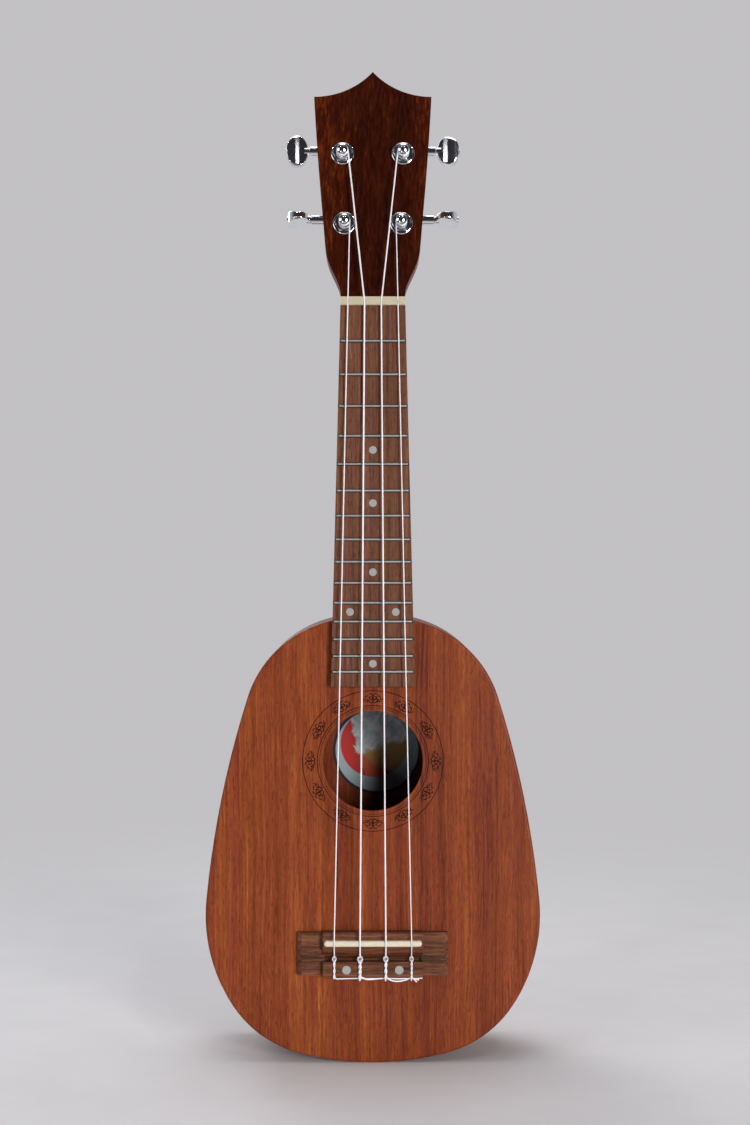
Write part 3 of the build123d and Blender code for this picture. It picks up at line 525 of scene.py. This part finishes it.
def tied_string(key):
    """The CAD string with its plain loop exchanged for a real tie: hole, twist, knot and trimmed tail."""
    x, d = STRINGS[key]
    bm = bmesh.new()
    bm.from_mesh(nodes["string_" + key].data)
    geometry = bm.verts[:] + bm.edges[:] + bm.faces[:]
    bmesh.ops.bisect_plane(bm, geom=geometry, plane_co=(0, 0, STRING_CUT * MM), plane_no=(0, 0, -1),
                           clear_outer=True)
    bmesh.ops.holes_fill(bm, edges=[e for e in bm.edges if e.is_boundary], sides=0)
    points = tie_points(x, d, *TIES[key]) + [Vector((x + dx, y, z)) for dx, y, z in TAILS[key]]
    verts, faces = tube_parts(curve_points(points, STRAND_STEPS), d / 2 * SLIM)
    grow(bm, [v * MM for v in verts], faces)
    obj = add_object("tied_string_" + key, bm, nylon, smooth=True)
    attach(obj, "root")
    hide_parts("string_" + key)


for key in STRINGS:
    tied_string(key)

# ---- soundhole rosette: burnt-in circles and scrolls ----
PROUD = 0.03  # how far the lines stand out of the wood
SUNK = 0.05  # how deep they reach into it
CIRCLES = ((38.6, 0.42), (30.5, 0.40), (29.3, 0.22))  # radius, line width
CIRCLE_SIDES = 180
SCROLLS = 12
BAND_R = 34.5  # middle of the band of scrolls
BAND_STRETCH = 1.05
WEIGHTS = (1.35, 1.75)  # range of the factor on a stroke's line width
# line widths at the ends and in the middle
CURL = (0.16, 0.42)
EYE = (0.2, 0.3)
RING = (0.2, 0.34)
STEM = (0.2, 0.5)


def strip_sides(base, after):
    """The four long faces between the corners that start at base and those that start at after."""
    return [(base + j, base + (j + 1) % 4, after + (j + 1) % 4, after + j) for j in range(4)]


def stroke(line, widths, verts, faces):
    """Flat inked line on the face: a closed strip standing just proud of the wood."""
    base = len(verts)
    count = len(line)
    for i, (px, pz) in enumerate(line):
        ax, az = line[max(i - 1, 0)]
        bx, bz = line[min(i + 1, count - 1)]
        length = math.hypot(bx - ax, bz - az) or 1.0
        nx, nz = -(bz - az) / length, (bx - ax) / length
        w = widths[i] / 2
        for side, y in ((1, -PROUD), (-1, -PROUD), (-1, SUNK), (1, SUNK)):
            verts.append((px + side * nx * w, y, pz + side * nz * w))
    end = base + 4 * (count - 1)
    for low in range(base, end, 4):
        faces.extend(strip_sides(low, low + 4))
    faces.append((base, base + 3, base + 2, base + 1))
    faces.append((end, end + 1, end + 2, end + 3))


def circle(radius, width, verts, faces):
    """Inked circle round the soundhole, made like a stroke."""
    base = len(verts)
    inner = radius - width / 2
    outer = radius + width / 2
    for i in range(CIRCLE_SIDES):
        a = 2 * math.pi * i / CIRCLE_SIDES
        for r, y in ((outer, -PROUD), (inner, -PROUD), (inner, SUNK), (outer, SUNK)):
            verts.append((r * math.cos(a), y, HOLE_Z + r * math.sin(a)))
    for i in range(CIRCLE_SIDES):
        faces.extend(strip_sides(base + 4 * i, base + 4 * ((i + 1) % CIRCLE_SIDES)))


def spiral(cx, cy, r0, r1, a0, a1, n=16):
    """Curl from radius r0 to r1 while turning from a0 to a1 degrees."""
    out = []
    for i in range(n + 1):
        t = i / n
        a = math.radians(a0 + (a1 - a0) * t)
        r = r0 + (r1 - r0) * t
        out.append((cx + r * math.cos(a), cy + r * math.sin(a)))
    return out


def taper(n, thin, thick):
    """Line widths at n points: thin at both ends and thick in the middle."""
    return [thin + (thick - thin) * math.sin(math.pi * i / (n - 1)) for i in range(n)]


def motif():
    """Strokes of one scroll, each with its line widths.

    They lie in their own plane: u runs along the ring, v outwards from the middle of the band.
    """
    strokes = []
    for m in (-1, 1):
        curls = [
            spiral(1.25, 0.3, 0.25, 1.25, 540, 150),
            spiral(3.3, -0.9, 0.2, 1.05, -360, 40),
            [(0.25, -2.2), (0.9, -2.55), (1.7, -2.1), (2.3, -1.5), (2.6, -0.6)],
            [(2.2, 1.1), (3.0, 1.45), (3.9, 1.0), (4.5, 0.1)],
            [(4.1, -0.2), (4.75, -0.55), (5.3, -0.1), (5.55, 0.7)],
            [(0.35, 1.5), (0.8, 2.3), (1.6, 2.5), (2.1, 1.9)],
        ]
        for curl in curls:
            strokes.append(([(m * u, v) for u, v in curl], *CURL))
        strokes.append((spiral(m * 5.1, -1.3, 0.02, 0.16, 0, 360, 8), *EYE))
    strokes.append((spiral(0, 1.0, 0.35, 0.5, -90, 270), *RING))
    strokes.append(([(0, -2.6), (0.12, -1.6), (0, -0.7), (-0.05, 0.3)], *STEM))
    return strokes


def rosette():
    """All circles and scrolls as one piece; each stroke of a scroll has its own weight."""
    verts = []
    faces = []
    for radius, width in CIRCLES:
        circle(radius, width, verts, faces)
    rng = random.Random(4)
    for n in range(SCROLLS):
        middle = math.radians(90 + 360 / SCROLLS * n)
        for line, thin, thick in motif():
            bent = []
            for u, v in line:
                a = middle - u / BAND_R
                r = BAND_R + v * BAND_STRETCH
                bent.append((r * math.cos(a), HOLE_Z + r * math.sin(a)))
            weight = rng.uniform(*WEIGHTS)
            stroke(bent, [w * weight for w in taper(len(bent), thin, thick)], verts, faces)
    bm = bmesh.new()
    grow(bm, [[c * MM for c in v] for v in verts], faces)
    bmesh.ops.recalc_face_normals(bm, faces=bm.faces)
    obj = add_object("rosette", bm, burnt, smooth=False)
    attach(obj, "root")


rosette()

# ---- camera ----
CAMERA_PLACE = Vector((-2.0, -905.2, -135.3))
CAMERA_YAW = math.radians(0.2)
CAMERA_PITCH = math.radians(-0.32)
CAMERA_LENS = 52.77


def set_camera():
    data = bpy.data.cameras.new("camera")
    data.sensor_fit = "AUTO"
    data.sensor_width = 36.0
    data.lens = CAMERA_LENS
    data.clip_start = 0.05
    data.clip_end = 50
    camera = bpy.data.objects.new("camera", data)
    scene.collection.objects.link(camera)
    level = math.cos(CAMERA_PITCH)
    forward = Vector((math.sin(CAMERA_YAW) * level, math.cos(CAMERA_YAW) * level, math.sin(CAMERA_PITCH)))
    right = Vector((math.cos(CAMERA_YAW), -math.sin(CAMERA_YAW), 0))
    turn = Matrix((right, right.cross(forward), -forward)).transposed()
    camera.matrix_world = Matrix.Translation(CAMERA_PLACE * MM) @ turn.to_4x4()
    scene.camera = camera


set_camera()

# ---- studio, in metres ----
MIDDLE = (0, 0, -0.2)  # a little below the middle of the instrument
HEAD = (0, 0, 0.05)
ORIGIN = (0, 0, 0)
LEFT_BUTTON = (-0.043, 0.03, 0.093)
RIGHT_BUTTON = (0.043, 0.03, 0.093)
WHITE = (1, 1, 1)
# name: place, aim, width, height (None for a disc), watts, colour
LIGHTS = {
    "key": ((1.05, -1.75, -0.1), MIDDLE, 0.55, 0.9, 35, (1.0, 0.98, 0.95)),
    "fill": ((-1.8, -1.1, 0.3), MIDDLE, 1.2, 1.2, 9, (0.93, 0.96, 1.0)),
    "overhead": ((0, 0.1, 2.2), MIDDLE, 1.6, None, 16, WHITE),
    "lamp_right": ((0.55, -1.0, 1.25), HEAD, 0.07, None, 1.6, WHITE),
    "lamp_left": ((-0.75, -1.1, 1.35), HEAD, 0.07, None, 1.4, WHITE),
    "lamp_low": ((-0.62, -1.25, -0.62), ORIGIN, 0.12, 0.34, 1.2, WHITE),
    "lamp_button_left": ((0.275, -1.28, 0.62), LEFT_BUTTON, 0.15, 0.016, 0.03, WHITE),
    "lamp_button_right": ((-0.088, -0.745, 1.003), RIGHT_BUTTON, 0.13, 0.016, 0.026, WHITE),
    "back_rim": ((-0.9, 1.5, 0.9), MIDDLE, 1.0, 1.0, 10, WHITE),
}
FLOOR_R = 1.2
FLOOR_SIDES = 64
FLOOR_FADE = (180.0, 900.0)  # millimetres from the middle
BACKDROP = (0.54, 0.53, 0.55, 1)
# the surround's glow from in front of the object (0) to behind it (1)
GLOW = [(0.35, (0.030, 0.030, 0.034, 1)), (0.72, (0.50, 0.50, 0.52, 1))]
# the glow from below starts where a direction's Z is the first of these and is full at the second
UNDER_SLOPES = (-0.15, -0.75)
UNDER_GLOW = 0.22


def area_light(name, place, aim, width, height, power, colour):
    data = bpy.data.lights.new(name, "AREA")
    data.energy = power
    data.color = colour
    data.shape = "RECTANGLE" if height else "DISK"
    data.size = width
    if height:
        data.size_y = height
    light = bpy.data.objects.new(name, data)
    scene.collection.objects.link(light)
    light.location = place
    light.rotation_mode = "QUATERNION"
    light.rotation_quaternion = (Vector(aim) - Vector(place)).to_track_quat("-Z", "Y")


def floor():
    """Pale floor under the object, fading out to the even surround."""
    bottom = cad_box[0].z
    ring = []
    for i in range(FLOOR_SIDES):
        a = 2 * math.pi * i / FLOOR_SIDES
        ring.append((FLOOR_R * math.cos(a), FLOOR_R * math.sin(a), bottom))
    mesh = bpy.data.meshes.new("floor")
    mesh.from_pydata(ring, [], [tuple(range(FLOOR_SIDES))])
    obj = bpy.data.objects.new("floor", mesh)
    scene.collection.objects.link(obj)
    g = Graph("floor_paper")
    speck = g.even_noise(0.02)
    x, y, _ = g.axes()
    g.set(Base_Color=g.ramp(speck, [(0.3, (0.78, 0.77, 0.79, 1)), (0.7, (0.82, 0.81, 0.83, 1))]),
          Roughness=0.9, Alpha=g.between(g.distance(x, y), *FLOOR_FADE, 1.0, 0.0))
    g.shader.inputs["Specular IOR Level"].default_value = 0.1
    mesh.materials.append(g.material)


def surround():
    """Even pale backdrop, which lights the object weakly from the front and more from behind and below."""
    world = bpy.data.worlds.new("studio")
    scene.world = world
    world.use_nodes = True
    sky = Tree(world.node_tree)
    sky.tree.nodes.clear()
    place = sky.add("ShaderNodeTexCoord").outputs["Generated"]
    _, back, up = sky.add("ShaderNodeSeparateXYZ", {0: place}).outputs
    glow = sky.ramp(sky.math("MULTIPLY_ADD", back, 0.5, 0.5), GLOW)
    under = sky.between(up, *UNDER_SLOPES, 0.0, UNDER_GLOW, smooth=False)
    both = sky.add("ShaderNodeVectorMath", {0: glow, 1: under}, operation="ADD").outputs[0]
    lit = sky.add("ShaderNodeBackground", {0: both}).outputs[0]
    shown = sky.add("ShaderNodeBackground", {0: BACKDROP}).outputs[0]
    direct = sky.add("ShaderNodeLightPath").outputs["Is Camera Ray"]
    mixed = sky.add("ShaderNodeMixShader", {0: direct, 1: lit, 2: shown}).outputs[0]
    sky.add("ShaderNodeOutputWorld", {0: mixed})


for name, settings in LIGHTS.items():
    area_light(name, *settings)
floor()
surround()
